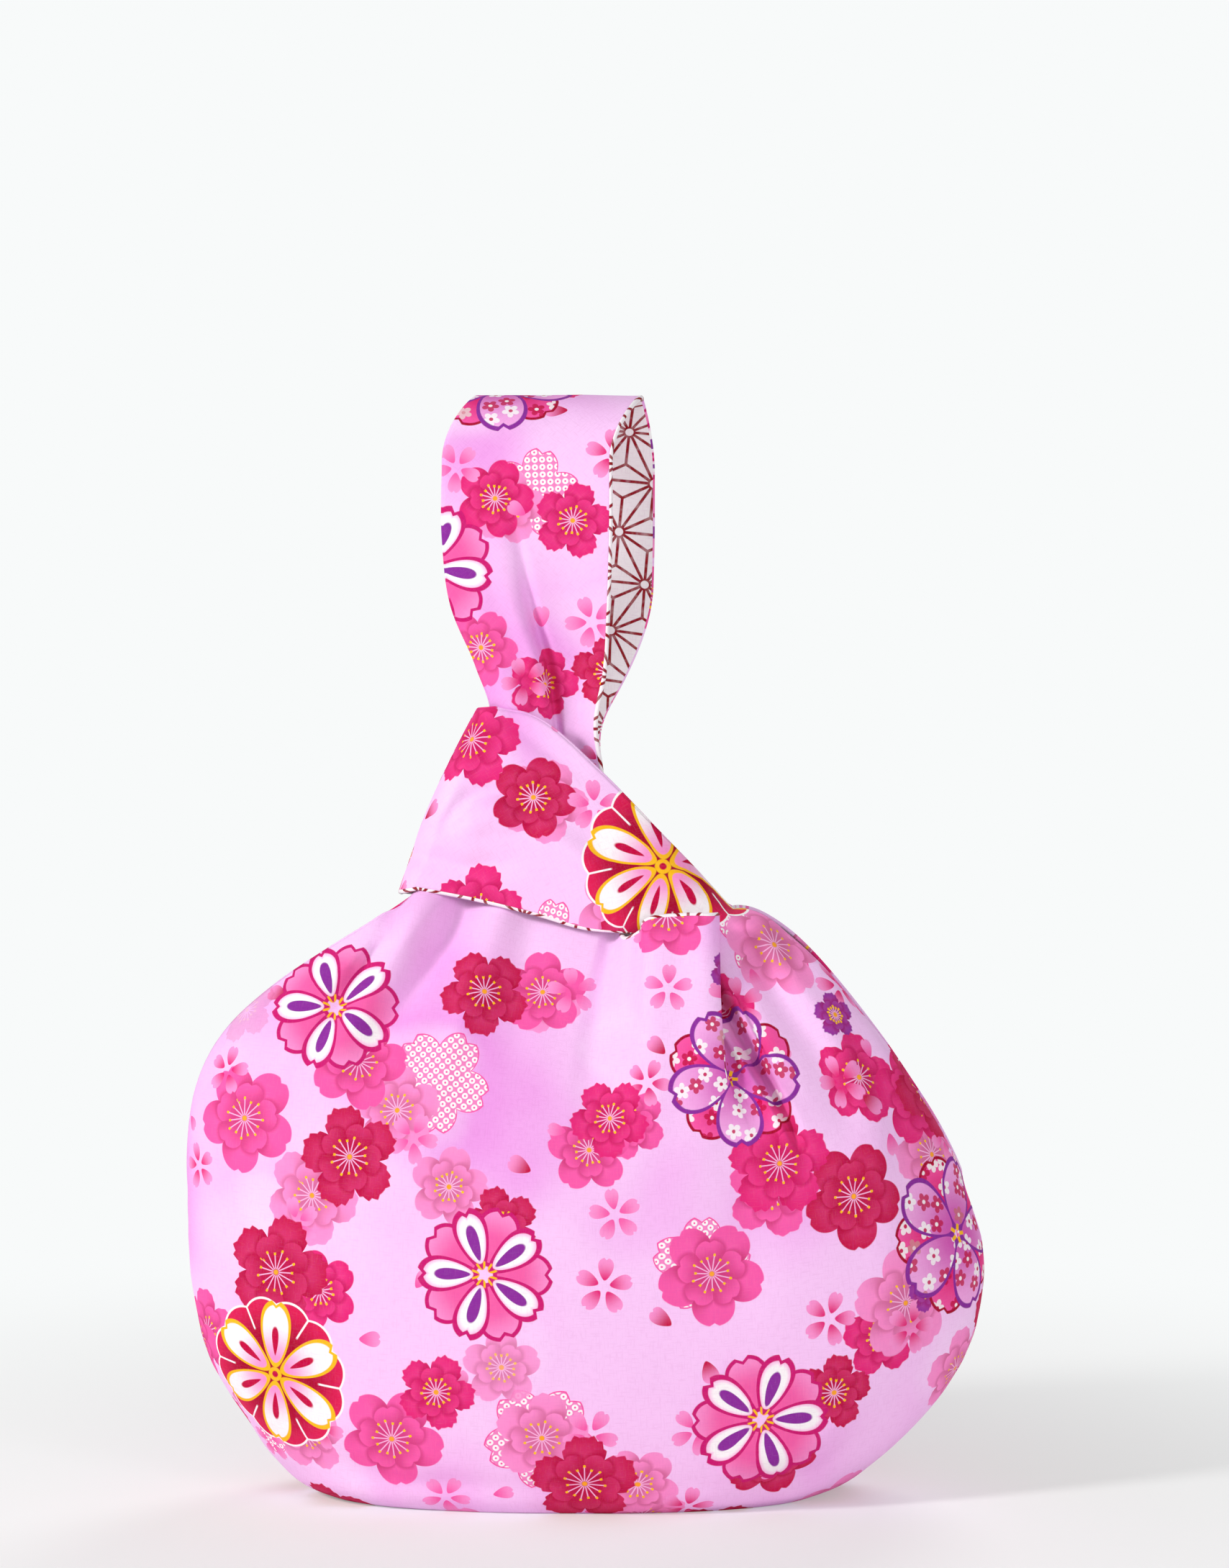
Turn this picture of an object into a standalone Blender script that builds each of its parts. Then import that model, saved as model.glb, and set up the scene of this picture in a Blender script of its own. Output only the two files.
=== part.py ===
"""A lined fabric knot bag, standing, with its long handle drawn through its short handle.

Four cut panels: two of outer cloth and two of lining. Each panel is one sheet that has a body, the
strip of the long handle and the strip of the short handle. Metres, +Z up, the base on Z = 0, the
front towards -Y and the long handle at the left.
"""

import bpy
import numpy as np

# The standing bag.
BODY_WIDTH = 0.332
BODY_DEPTH = 0.124
ANCHOR_HEIGHT = 0.132
MOUTH_HEIGHT = 0.240
LOOP_TOP = 0.455

# The two handles. The strips narrow and widen along their length by shares of this width.
STRAP_WIDTH = 0.068
LOOP_DEPTH = 0.048
LOOP_SHIFT = 0.018

# How far the layers of the knot lie from the middle plane, from the inside to the outside.
RING_OUT = 0.019
PLEAT_UNDER = 0.0225
FLAP_OUT = 0.034

# The soft forms: the fold down the long strip, the ring's turn at the left and how much lower it
# hangs behind, the folds that run down from the knot, and how far the free edges part.
STRIP_FOLD = 0.0044
TURN_REACH = 0.0085
TURN_SWELL = 0.0025
RING_SAG = 0.0035
FOLD_DEPTH = 0.0062
EDGE_PARTING = 0.010

# The cloth and the seams.
OUTER_CLOTH = 0.0008
LINING_CLOTH = 0.0007
LAYER_GAP = 0.0003
SEAM_GAP = 0.0003
SEAM_FLAT = 0.0016

# Cells across the long strip's share and the short strip's, then the rows of cells.
CELLS_LONG = 9
CELLS_SHORT = 8
ROWS_BASE = 3
ROWS_WALL = 6
ROWS_SHOULDER = 7
ROWS_LONG = 12
ROWS_SHORT = 8

HALF_WIDTH = BODY_WIDTH / 2
HALF_DEPTH = BODY_DEPTH / 2
LONG_SHARE = 0.43
SHORT_SHARE = 0.66

# The body's outline from the base to the anchor height: share of that height, then the left and
# right half widths and the half depth as shares of the body's.
OUTLINE = (
    (0.00, 0.64, 0.57, 0.76),
    (0.03, 0.70, 0.63, 0.85),
    (0.11, 0.78, 0.73, 0.92),
    (0.23, 0.85, 0.84, 0.97),
    (0.40, 0.93, 0.94, 1.00),
    (0.70, 0.99, 1.00, 1.00),
    (1.00, 1.00, 0.945, 0.95),
)


def smooth(rows, at):
    """Values at the given places on a smooth curve through rows of place, value, value."""
    rows = np.array(rows, float)
    at = np.asarray(at, float)
    key, value = rows[:, 0], rows[:, 1:]
    slope = np.gradient(value, key, axis=0)
    i = np.clip(np.searchsorted(key, at, side="right") - 1, 0, len(key) - 2)
    span = (key[i + 1] - key[i])[..., None]
    s = ((at - key[i])[..., None]) / span
    s = np.clip(s, 0.0, 1.0)
    one = (2 * s**3 - 3 * s**2 + 1) * value[i] + (s**3 - 2 * s**2 + s) * span * slope[i]
    two = (3 * s**2 - 2 * s**3) * value[i + 1] + (s**3 - s**2) * span * slope[i + 1]
    return one + two


def step(t):
    """A soft rise from 0 to 1."""
    t = np.clip(t, 0.0, 1.0)
    return t * t * (3 - 2 * t)


def points(x, y, z):
    return np.stack(np.broadcast_arrays(x, y, z), axis=-1)


def section(height, share):
    """Points round the front half of the body at a height up to the anchor, by share of the arc."""
    left, right, deep = np.moveaxis(smooth(OUTLINE, height / ANCHOR_HEIGHT), -1, 0)
    turn = np.linspace(0.0, np.pi, 241)
    across, out = np.cos(turn), np.abs(np.sin(turn)) ** 0.86
    x = -np.sign(across) * np.abs(across) ** 0.86 * np.where(across > 0, left, right) * HALF_WIDTH
    y = -out * deep * HALF_DEPTH
    run = np.concatenate([[0.0], np.cumsum(np.hypot(np.diff(x), np.diff(y)))])
    x = np.interp(share * run[-1], run, x)
    y = np.interp(share * run[-1], run, y)
    return points(x, y, height)


def base(out, share):
    """Points of the flat base, from the bottom seam (out = 0) to the base's edge (out = 1)."""
    rim = section(0.0, share)
    rim[..., 0] *= 0.90 + 0.10 * out
    rim[..., 1] *= out
    return rim


# The front strip of the long handle, from inside the knot (0) to where it turns over at the top (1):
# the middle's place across as a share of the half width, its height as a share of the way from the
# mouth to the top, the tilt of the section, its half width as a share of the strap's half width,
# and how far it lies in front of the middle plane as a share of the loop's half depth.
LONG_STRIP = (
    (0.00, -0.160, 0.042, 0.16, 1.03, 0.37),
    (0.17, -0.140, 0.167, 0.15, 0.92, 0.35),
    (0.30, -0.118, 0.285, 0.13, 0.75, 0.38),
    (0.40, -0.108, 0.368, 0.10, 0.63, 0.44),
    (0.52, -0.115, 0.465, 0.07, 0.77, 0.56),
    (0.67, -0.140, 0.583, 0.05, 0.94, 0.78),
    (0.82, -0.146, 0.713, 0.02, 1.00, 0.95),
    (1.00, -0.145, 0.861, 0.00, 1.00, 1.00),
)


def long_strip(share, along, rear):
    """Points of a long strip: share runs from its left edge to its right edge.

    Up to 1 the strip rises from the knot. From 1 to 2 it turns over to the seam at the top.
    """
    straight = np.minimum(along, 1.0)
    x, z, tilt, wide, deep = np.moveaxis(smooth(LONG_STRIP, straight), -1, 0)
    half = wide * STRAP_WIDTH / 2
    across = 2 * share - 1
    x = x * HALF_WIDTH + across * half
    turn = np.clip(along - 1.0, 0.0, 1.0)
    angle = turn * np.pi / 2
    z = z + (1.0 - LONG_STRIP[-1][2]) * np.sin(angle)
    z = MOUTH_HEIGHT + z * (LOOP_TOP - MOUTH_HEIGHT) - across * half * tilt
    # One soft fold down the strip, deepest where the ring draws it together.
    fold = np.exp(-(((straight - 0.42) / 0.28) ** 2))
    crest = np.cos(2 * np.pi * (share - 0.22)) * (1 - 0.35 * share)
    y = deep * LOOP_DEPTH / 2 + STRIP_FOLD * fold * crest
    # The loop leans: the rear strip stands further to the right.
    lean = LOOP_SHIFT * step((straight - 0.32) / 0.42)
    meet = LOOP_SHIFT * 0.72 * step(turn)
    x = x + (lean + meet - LOOP_SHIFT * step(turn) if rear else meet)
    return points(x, -y * np.cos(angle), z)


# The front strip of the short handle, from the mouth (0) to its turn at the left (1): the places
# across and the heights of its lower and upper edges as shares of the half width and the mouth's
# height, how far out its two edges lie, and its bulge, as shares of how far out the ring lies.
SHORT_STRIP = (
    (0.00, 0.232, 0.950, 0.366, 1.006, 1.10, 0.34, 0.52),
    (0.20, 0.120, 0.966, 0.287, 1.066, 1.02, 0.62, 0.40),
    (0.40, -0.005, 0.975, 0.165, 1.152, 0.96, 0.82, 0.26),
    (0.60, -0.128, 1.000, 0.030, 1.246, 0.94, 0.88, 0.20),
    (0.80, -0.285, 1.026, -0.110, 1.330, 0.93, 0.88, 0.20),
    (1.00, -0.420, 1.044, -0.226, 1.352, 0.92, 0.88, 0.14),
)


def short_strip(share, along, rear):
    """Points of a short strip: share runs from its lower edge to its upper edge.

    Up to 1 the strip runs across the knot. From 1 to 2 it turns round the long handle's left side.
    """
    flat = np.minimum(along, 1.0)
    row = np.moveaxis(smooth(SHORT_STRIP, flat), -1, 0)
    low_x, low_z, up_x, up_z, low_out, up_out, bulge = row
    curl = np.clip(1 - flat / 0.6, 0.0, 1.0)
    rise = share * (1 - curl) + curl * (0.5 - 0.5 * np.cos(np.pi * share**0.8))
    x = (low_x + (up_x - low_x) * rise) * HALF_WIDTH
    z = (low_z + (up_z - low_z) * rise) * MOUTH_HEIGHT
    out = low_out + (up_out - low_out) * share + bulge * np.sin(np.pi * share)
    angle = np.clip(along - 1.0, 0.0, 1.0) * np.pi / 2
    x = x - (TURN_REACH + TURN_SWELL * np.sin(np.pi * share)) * np.sin(angle)
    # Behind, the strip hangs a little lower at the turn.
    sag = RING_SAG * (1 - share) ** 2 * step((flat - 0.5) / 0.5)
    z = z - sag * (1 - 0.5 * np.sin(angle) if rear else 0.5 * np.sin(angle))
    return points(x, -out * RING_OUT * np.cos(angle), z)


# The mouth's edge from the long strip (0) to the short strip (1): share, place across as a share
# of the half width, height as a share of the mouth's height, and a blend from the long strip's
# depth (0) to the flap's (1), then to the pleat's inner turn (2).
MOUTH_EDGE = (
    (0.10, 0.070, 0.980, 0.06),
    (0.20, 0.090, 0.958, 0.50),
    (0.32, 0.140, 0.988, 0.88),
    (0.50, 0.240, 1.000, 1.00),
    (0.66, 0.310, 1.000, 1.00),
    (0.72, 0.328, 1.000, 1.26),
    (0.79, 0.312, 0.996, 1.52),
    (0.90, 0.245, 0.960, 1.66),
    (0.96, 0.226, 0.938, 1.84),
)


def top_row(share):
    """Points of the row where the body becomes the strips and the mouth's free edge."""
    share = np.asarray(share, float)
    long_part = long_strip(np.clip(share / LONG_SHARE, 0.0, 1.0), 0.0, False)
    short_share = np.clip((share - SHORT_SHARE) / (1 - SHORT_SHARE), 0.0, 1.0)
    short_part = short_strip(short_share, 0.0, False)
    start = long_strip(1.0, 0.0, False)
    end = short_strip(0.0, 0.0, False)
    rows = [(0.0, start[0], start[2], start[1])]
    for at, x, z, deep in MOUTH_EDGE:
        first = start[1] + (-FLAP_OUT - start[1]) * min(deep, 1.0)
        out = first + (FLAP_OUT - PLEAT_UNDER) * max(deep - 1.0, 0.0)
        rows.append((at, x * HALF_WIDTH, z * MOUTH_HEIGHT, out))
    rows.append((1.0, end[0], end[2], end[1]))
    middle = smooth(rows, np.clip((share - LONG_SHARE) / (SHORT_SHARE - LONG_SHARE), 0.0, 1.0))
    middle = middle[..., [0, 2, 1]]
    row = np.where((share < LONG_SHARE)[..., None], long_part, middle)
    return np.where((share > SHORT_SHARE)[..., None], short_part, row)


# How the body's columns arrive at the top row: share of the row, direction, and how strongly they
# keep their direction at the anchor height and at the top row.
ARRIVAL = (
    (0.00, 0.75, 0.20, 0.62, 1.48, 1.12),
    (0.20, 0.58, 0.30, 0.72, 1.10, 1.00),
    (0.43, 0.22, 0.30, 0.92, 0.90, 0.90),
    (0.50, 0.05, 0.22, 0.97, 0.85, 0.85),
    (0.60, -0.02, 0.20, 0.98, 0.85, 0.85),
    (0.66, -0.20, 0.25, 0.92, 0.80, 0.80),
    (0.80, -0.55, 0.20, 0.80, 0.75, 0.70),
    (0.86, -0.72, 0.10, 0.62, 0.70, 0.70),
    (1.00, -0.99, 0.02, -0.15, 0.30, 0.65),
)

# The share of the body's arc at the anchor height for each place along the top row.
SPREAD = (
    (0.00, 0.000),
    (0.20, 0.235),
    (0.43, 0.492),
    (0.57, 0.648),
    (0.66, 0.722),
    (0.85, 0.815),
    (1.00, 1.000),
)

# Folds that run down from the knot: place along the top row, half width there, height of the ridge
# as a share of the folds' depth (below 0 for a valley), and how far up the shoulder it starts.
FOLDS = (
    (0.060, 0.035, 0.48, 0.15),
    (0.770, 0.035, 0.48, 0.10),
    (0.862, 0.030, -1.00, 0.02),
)


def arc_share(share):
    """The share of the body's arc at the anchor height for a column of the top row."""
    return smooth(SPREAD, share)[..., 0]


def shoulder(share, rise):
    """Points between the anchor height (rise = 0) and the top row (rise = 1)."""
    arc = arc_share(share)
    low = section(ANCHOR_HEIGHT, arc)
    below = section(ANCHOR_HEIGHT * 0.93, arc)
    # Above the side seams the panels part, so the free edges stand off the middle plane.
    part = EDGE_PARTING * np.sin(np.pi * np.clip(rise, 0.0, 1.0)) * (np.abs(2 * arc - 1)) ** 4
    high = top_row(share)
    start = low - below
    start /= np.linalg.norm(start, axis=-1, keepdims=True)
    row = smooth(ARRIVAL, share)
    end = row[..., :3] / np.linalg.norm(row[..., :3], axis=-1, keepdims=True)
    reach = np.linalg.norm(high - low, axis=-1, keepdims=True)
    t = np.asarray(rise, float)[..., None]
    one = (2 * t**3 - 3 * t**2 + 1) * low + (t**3 - 2 * t**2 + t) * reach * row[..., 3:4] * start
    two = (3 * t**2 - 2 * t**3) * high + (t**3 - t**2) * reach * row[..., 4:5] * end
    made = one + two
    for place, wide, tall, begins in FOLDS:
        fade = np.sin(np.pi * np.clip((rise - begins) / (1 - begins), 0.0, 1.0) ** 1.2)
        part = part + tall * FOLD_DEPTH * np.exp(-(((share - place) / wide) ** 2)) * fade
    made[..., 1] -= part
    return made


def grid(function, across, along, *more):
    return function(across[None, :] + 0 * along[:, None], along[:, None] + 0 * across[None, :], *more)


def columns():
    """The columns' places across the top row, closer together in the pleat's turns."""
    left = np.insert(np.linspace(0.0, LONG_SHARE, CELLS_LONG + 1), 1, 0.006)
    middle = np.array([0.0, 0.10, 0.20, 0.32, 0.50, 0.66, 0.72, 0.79, 0.90, 0.96, 1.0])
    right = np.insert(np.linspace(SHORT_SHARE, 1.0, CELLS_SHORT + 1), CELLS_SHORT, 0.994)
    return left, LONG_SHARE + middle * (SHORT_SHARE - LONG_SHARE), right


def panel_surface(rear):
    """Points and faces of one panel's outer side, in the front's frame."""
    left, middle, right = columns()
    share = np.concatenate([left, middle[1:], right[1:]])
    arc = arc_share(share)
    rows = []
    for out in np.linspace(0.0, 1.0, ROWS_BASE + 1)[:-1] ** 0.8:
        rows.append(base(out, arc))
    for height in np.linspace(0.0, 1.0, ROWS_WALL + 1)[:-1] ** 1.7 * ANCHOR_HEIGHT:
        rows.append(section(height, arc))
    for rise in np.linspace(0.0, 1.0, ROWS_SHOULDER + 1):
        rows.append(shoulder(share, np.full(share.shape, rise)))
    body = np.array(rows)
    long_rows = np.concatenate([np.linspace(0.0, 1.0, ROWS_LONG - 3)[1:], (1.25, 1.5, 1.75, 2.0, 2.0)])
    short_rows = np.concatenate([np.linspace(0.0, 1.0, ROWS_SHORT - 2)[1:], (1.34, 1.67, 2.0, 2.0)])
    long_part = grid(long_strip, left / LONG_SHARE, long_rows, rear)
    short_part = grid(short_strip, (right - SHORT_SHARE) / (1 - SHORT_SHARE), short_rows, rear)
    # Next to each seam the cloth runs square to the middle plane.
    sewn = slice(ROWS_BASE, ROWS_BASE + ROWS_WALL + 1)
    for edge, beside, inward in ((0, 1, 1), (-1, -2, -1)):
        body[sewn, beside] = body[sewn, edge]
        body[sewn, beside, 1] = -SEAM_FLAT
        for row in range(ROWS_BASE):
            out = row / ROWS_BASE
            body[row, beside] = body[row, edge] + points(inward * SEAM_FLAT * (1 - out), -SEAM_FLAT * out, 0)
    long_part[-2, :, 1] = -SEAM_FLAT
    short_part[-2, :, 1] = -SEAM_FLAT
    place = [tuple(p) for p in body.reshape(-1, 3)]
    n = body.shape[1]
    faces = []

    def weave(index):
        for low, high in zip(index[:-1], index[1:]):
            for k in range(len(low) - 1):
                faces.append((low[k], low[k + 1], high[k + 1], high[k]))

    index = np.arange(len(place)).reshape(-1, n)
    weave(index.tolist())
    # At the base's two corners the bottom seam and the side seam are one line, so the cell there is
    # split from its corner.
    a, b, c, d = faces[0]
    faces[0] = (a, b, c)
    faces.append((a, c, d))
    a, b, c, d = faces[n - 2]
    faces[n - 2] = (a, b, d)
    faces.append((b, c, d))
    for part, first in ((long_part, 0), (short_part, n - len(right))):
        top = index[-1, first : first + part.shape[1]].tolist()
        added = (len(place) + np.arange(part.shape[0] * part.shape[1])).reshape(part.shape[:2])
        place.extend(tuple(p) for p in part.reshape(-1, 3))
        weave([top] + added.tolist())
    return np.array(place), faces


def cloth(name, colour):
    material = bpy.data.materials.new(name)
    material.use_nodes = True
    shader = material.node_tree.nodes["Principled BSDF"]
    shader.inputs["Base Color"].default_value = (*colour, 1.0)
    shader.inputs["Roughness"].default_value = 0.85
    return material


def panel(name, rear, inside, thick, material, collection):
    """One closed panel: the surface, moved inwards by the layers over it, with the cloth's thickness."""
    place, faces = panel_surface(rear)
    # The seams lie in the middle plane, half a gap from it.
    place[:, 1] = np.minimum(place[:, 1], 0.0) - SEAM_GAP / 2
    if rear:
        place[:, 1] *= -1
        faces = [face[::-1] for face in faces]
    mesh = bpy.data.meshes.new(name)
    mesh.from_pydata(place.tolist(), [], faces)
    mesh.update()
    if inside:
        normals = np.array([v.normal[:] for v in mesh.vertices])
        moved = place - normals * inside
        side = 1 if rear else -1
        moved[:, 1] = side * np.maximum(side * moved[:, 1], SEAM_GAP / 2)
        mesh.vertices.foreach_set("co", moved.ravel())
        mesh.update()
    mesh.materials.append(material)
    piece = bpy.data.objects.new(name, mesh)
    collection.objects.link(piece)
    solid = piece.modifiers.new("cloth", "SOLIDIFY")
    solid.thickness = thick
    solid.offset = -1.0
    return piece


def main():
    for old in list(bpy.data.objects):
        bpy.data.objects.remove(old)
    collection = bpy.data.collections.new("knot_bag")
    bpy.context.scene.collection.children.link(collection)
    print_cloth = cloth("outer_cloth", (0.90, 0.45, 0.80))
    lining_cloth = cloth("lining_cloth", (0.85, 0.78, 0.76))
    under = OUTER_CLOTH + LAYER_GAP
    panel("outer_front_panel", False, 0.0, OUTER_CLOTH, print_cloth, collection)
    panel("outer_back_panel", True, 0.0, OUTER_CLOTH, print_cloth, collection)
    panel("lining_front_panel", False, under, LINING_CLOTH, lining_cloth, collection)
    panel("lining_back_panel", True, under, LINING_CLOTH, lining_cloth, collection)


main()
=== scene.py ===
"""The look of the knot bag: its printed cotton, its lining, edges, seams and folds.

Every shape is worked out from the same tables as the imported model, in metres: +Z up, the front
towards -Y, the long handle at the left.
"""

import math

import bpy
import numpy as np
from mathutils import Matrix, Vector, noise


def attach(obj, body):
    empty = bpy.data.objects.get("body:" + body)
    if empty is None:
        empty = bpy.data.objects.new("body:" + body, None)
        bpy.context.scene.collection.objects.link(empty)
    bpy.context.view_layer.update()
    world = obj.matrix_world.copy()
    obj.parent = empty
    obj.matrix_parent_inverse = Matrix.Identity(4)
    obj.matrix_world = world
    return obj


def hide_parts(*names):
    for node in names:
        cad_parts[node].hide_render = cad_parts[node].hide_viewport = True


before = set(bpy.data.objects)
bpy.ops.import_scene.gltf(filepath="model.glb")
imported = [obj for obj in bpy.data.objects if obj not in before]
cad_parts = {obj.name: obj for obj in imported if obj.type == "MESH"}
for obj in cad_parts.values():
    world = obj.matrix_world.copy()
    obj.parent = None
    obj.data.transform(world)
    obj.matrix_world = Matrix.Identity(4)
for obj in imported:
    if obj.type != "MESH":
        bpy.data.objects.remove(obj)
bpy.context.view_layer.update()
FULL = 2 * math.pi

# The bag's sizes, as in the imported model.
BODY_WIDTH = 0.332
BODY_DEPTH = 0.124
ANCHOR_HEIGHT = 0.132
MOUTH_HEIGHT = 0.240
LOOP_TOP = 0.455
STRAP_WIDTH = 0.068
LOOP_DEPTH = 0.048
LOOP_SHIFT = 0.018
RING_OUT = 0.019
PLEAT_UNDER = 0.0225
FLAP_OUT = 0.034
STRIP_FOLD = 0.0044
TURN_REACH = 0.0085
TURN_SWELL = 0.0025
RING_SAG = 0.0035
FOLD_DEPTH = 0.0062
EDGE_PARTING = 0.010
OUTER_CLOTH = 0.0008
LINING_CLOTH = 0.0007
LAYER_GAP = 0.0003
SEAM_GAP = 0.0003
HALF_WIDTH = BODY_WIDTH / 2
HALF_DEPTH = BODY_DEPTH / 2
LONG_SHARE = 0.43
SHORT_SHARE = 0.66
EDGE_RADIUS = 0.00105
# The body's section is an ellipse filled out by this power; 1 would leave it an ellipse.
ROUNDNESS = 0.86
# Where on the printed cloth each panel was cut, in metres.
PRINT_SHIFT = {"front": (-0.100, -0.260), "back": (0.137, 0.061)}
# The step from star to star along a row of the lining, in mm, and where on the lining's pattern the
# long handle's right edge lies, halfway up, in metres.
STAR_STEP = 25.3
STAR_AT_EDGE = np.array((0.012, 0.0))
# Unevenness of the cloth: height in mm, length of wave in metres, and where its noise starts.
BODY_RIPPLES = ((1.7, 0.070, 0), (0.60, 0.027, 10))
STRIP_RIPPLE = (0.34, 0.020, 20)
# The hollow beside the mouth's pleat. Its place, its lean and its half widths are shares of the
# panel's width; its depth and the height of the lip at its left are in mm.
HOLLOW_PLACE = 0.684
HOLLOW_LEAN = 0.052
HOLLOW_LEFT = 0.0050
HOLLOW_RIGHT = 0.026
HOLLOW_DEPTH = 9.5
HOLLOW_LIP = 2.2
# How far the long strip's left part rises and its right part sinks, in mm.
CURL_RISE = 2.8
CURL_SINK = 5.2
# Above this height, in metres, the mouth's back edge is rolled in the printed cloth. Such a roll is
# a little thinner than one of the lining's cloth.
BACK_ROLL_HEIGHT = 0.300
PRINT_ROLL = 0.86
# Points of a path closer than this, in metres, count as one.
LEAST_STEP = 0.0006
# A stitch's rings: place across the seam, height and width, as shares of the sizes in metres.
STITCH_RINGS = ((-1.0, -0.25, 0.5), (-0.45, 0.12, 1.0), (0.45, 0.12, 1.0), (1.0, -0.25, 0.5))
STITCH_REACH = 0.0011
STITCH_HEIGHT = 0.001
STITCH_RADIUS = 0.00022
STITCH_STEP = 0.0028
STITCH_SIDES = 6
FLOOR_RADIUS = 6.0
BACKDROP = (248, 250, 250)
CAMERA = (0.0117, -1.35, 0.2932)
# The picture's height in metres, measured where the bag's front stands.
PICTURE_HEIGHT = 0.648
FRONT_Y = -0.01
# Name, place, aim, width in metres and power in watts.
LAMPS = (
    ("key", (-1.55, -0.95, 1.05), (0, 0, 0.2), 0.36, 25.5),
    ("side", (1.15, -1.45, 0.5), (0, 0, 0.3), 0.6, 8.0),
    ("fill", (0.3, -2.0, 0.75), (0, 0, 0.25), 1.1, 4.2),
    ("back", (0.6, 1.6, 1.3), (0, 0, 0.25), 1.0, 14.0),
)

# Cells of the cloth's mesh, and how many of them share one cell of the sheet that is laid flat.
CELLS_LONG = 66
CELLS_MIDDLE = 66
CELLS_SHORT = 54
ROWS_BASE = 18
ROWS_WALL = 54
ROWS_SHOULDER = 66
ROWS_LONG = 96
ROWS_LONG_TURN = 24
ROWS_SHORT = 48
ROWS_SHORT_TURN = 12
COARSE = 3

# Share of the height up to the anchor; reach to the left, to the right and outwards.
OUTLINE = (
    (0.00, 0.64, 0.57, 0.76),
    (0.03, 0.70, 0.63, 0.85),
    (0.11, 0.78, 0.73, 0.92),
    (0.23, 0.85, 0.84, 0.97),
    (0.40, 0.93, 0.94, 1.00),
    (0.70, 0.99, 1.00, 1.00),
    (1.00, 1.00, 0.945, 0.95),
)
# Share of the way up; middle across and up, tilt, width and depth.
LONG_STRIP = (
    (0.00, -0.160, 0.042, 0.16, 1.03, 0.37),
    (0.17, -0.140, 0.167, 0.15, 0.92, 0.35),
    (0.30, -0.118, 0.285, 0.13, 0.75, 0.38),
    (0.40, -0.108, 0.368, 0.10, 0.63, 0.44),
    (0.52, -0.115, 0.465, 0.07, 0.77, 0.56),
    (0.67, -0.140, 0.583, 0.05, 0.94, 0.78),
    (0.82, -0.146, 0.713, 0.02, 1.00, 0.95),
    (1.00, -0.145, 0.861, 0.00, 1.00, 1.00),
)
# Share of the way round; lower edge across and up, upper edge across and up, how far out both lie,
# and the bulge between them.
SHORT_STRIP = (
    (0.00, 0.232, 0.950, 0.366, 1.006, 1.10, 0.34, 0.52),
    (0.20, 0.120, 0.966, 0.287, 1.066, 1.02, 0.62, 0.40),
    (0.40, -0.005, 0.975, 0.165, 1.152, 0.96, 0.82, 0.26),
    (0.60, -0.128, 1.000, 0.030, 1.246, 0.94, 0.88, 0.20),
    (0.80, -0.285, 1.026, -0.110, 1.330, 0.93, 0.88, 0.20),
    (1.00, -0.420, 1.044, -0.226, 1.352, 0.92, 0.88, 0.14),
)
# Share of the mouth; place across and up, and how far out (above 1 it runs back under the flap).
MOUTH_EDGE = (
    (0.10, 0.070, 0.980, 0.06),
    (0.20, 0.090, 0.958, 0.50),
    (0.32, 0.140, 0.988, 0.88),
    (0.50, 0.240, 1.000, 1.00),
    (0.66, 0.310, 1.000, 1.00),
    (0.72, 0.328, 1.000, 1.26),
    (0.79, 0.312, 0.996, 1.52),
    (0.90, 0.245, 0.960, 1.66),
    (0.96, 0.226, 0.938, 1.84),
)
# Share of the top row; the direction in which the cloth arrives there, and the pull at both ends.
ARRIVAL = (
    (0.00, 0.75, 0.20, 0.62, 1.48, 1.12),
    (0.20, 0.58, 0.30, 0.72, 1.10, 1.00),
    (0.43, 0.22, 0.30, 0.92, 0.90, 0.90),
    (0.50, 0.05, 0.22, 0.97, 0.85, 0.85),
    (0.60, -0.02, 0.20, 0.98, 0.85, 0.85),
    (0.66, -0.20, 0.25, 0.92, 0.80, 0.80),
    (0.80, -0.55, 0.20, 0.80, 0.75, 0.70),
    (0.86, -0.72, 0.10, 0.62, 0.70, 0.70),
    (1.00, -0.99, 0.02, -0.15, 0.30, 0.65),
)
# Share of the top row; share of the arc below it.
SPREAD = (
    (0.00, 0.000),
    (0.20, 0.235),
    (0.43, 0.492),
    (0.57, 0.648),
    (0.66, 0.722),
    (0.85, 0.815),
    (1.00, 1.000),
)
# Folds below the top row: place, half width, height and start.
FOLDS = (
    (0.060, 0.035, 0.48, 0.15),
    (0.770, 0.035, 0.48, 0.10),
    (0.862, 0.030, -1.00, 0.02),
)

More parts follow.
